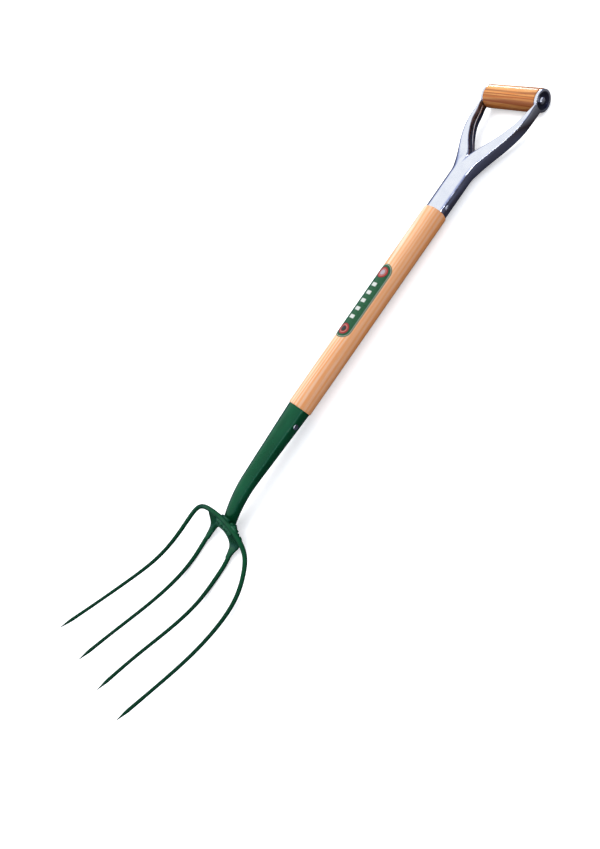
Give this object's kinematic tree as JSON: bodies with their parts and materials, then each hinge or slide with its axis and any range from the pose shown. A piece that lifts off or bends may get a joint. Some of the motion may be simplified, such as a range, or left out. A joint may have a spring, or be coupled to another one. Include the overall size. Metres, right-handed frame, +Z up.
{
  "type": "garden fork",
  "caption": "Short D-handled garden fork: dished round tines welded to a bent socket, wooden shaft, forked metal handle with turned cross grip",
  "frame": {"origin": "centre of the bounding box's bottom face; the floor the fork lies on is Z = 0", "axes": "+X runs along the shaft from the tines to the grip; +Y is across the tool; +Z is up, out of the hollow face of the tines"},
  "size_m": [1.0672, 0.22, 0.0824],
  "materials": {
    "green_enamel": "gloss green enamel over steel",
    "ash_wood": "pale ash, lightly varnished",
    "varnished_wood": "warm varnished hardwood",
    "polished_steel": "mirror-polished plated steel sheet",
    "rivet_steel": "plain steel rivet",
    "label_film": "printed adhesive film"
  },
  "bodies": {
    "tool": {"outer_tine_bow": "green_enamel", "inner_tine_bow": "green_enamel", "tine_web_left": "green_enamel", "tine_web_right": "green_enamel", "crown_weld": "green_enamel", "fork_socket": "green_enamel", "socket_rivet": "rivet_steel", "shaft": "ash_wood", "shaft_label": "label_film", "handle_yoke": "polished_steel", "yoke_rivet": "rivet_steel", "grip_rivet": "rivet_steel"},
    "grip": {"grip": "varnished_wood"}
  },
  "joints": [
    {"name": "grip_turn", "type": "hinge", "parent": "tool", "child": "grip", "pos_m": [0.51664, 0, 0.01701], "axis": [0, 1, 0], "continuous": true}
  ]
}
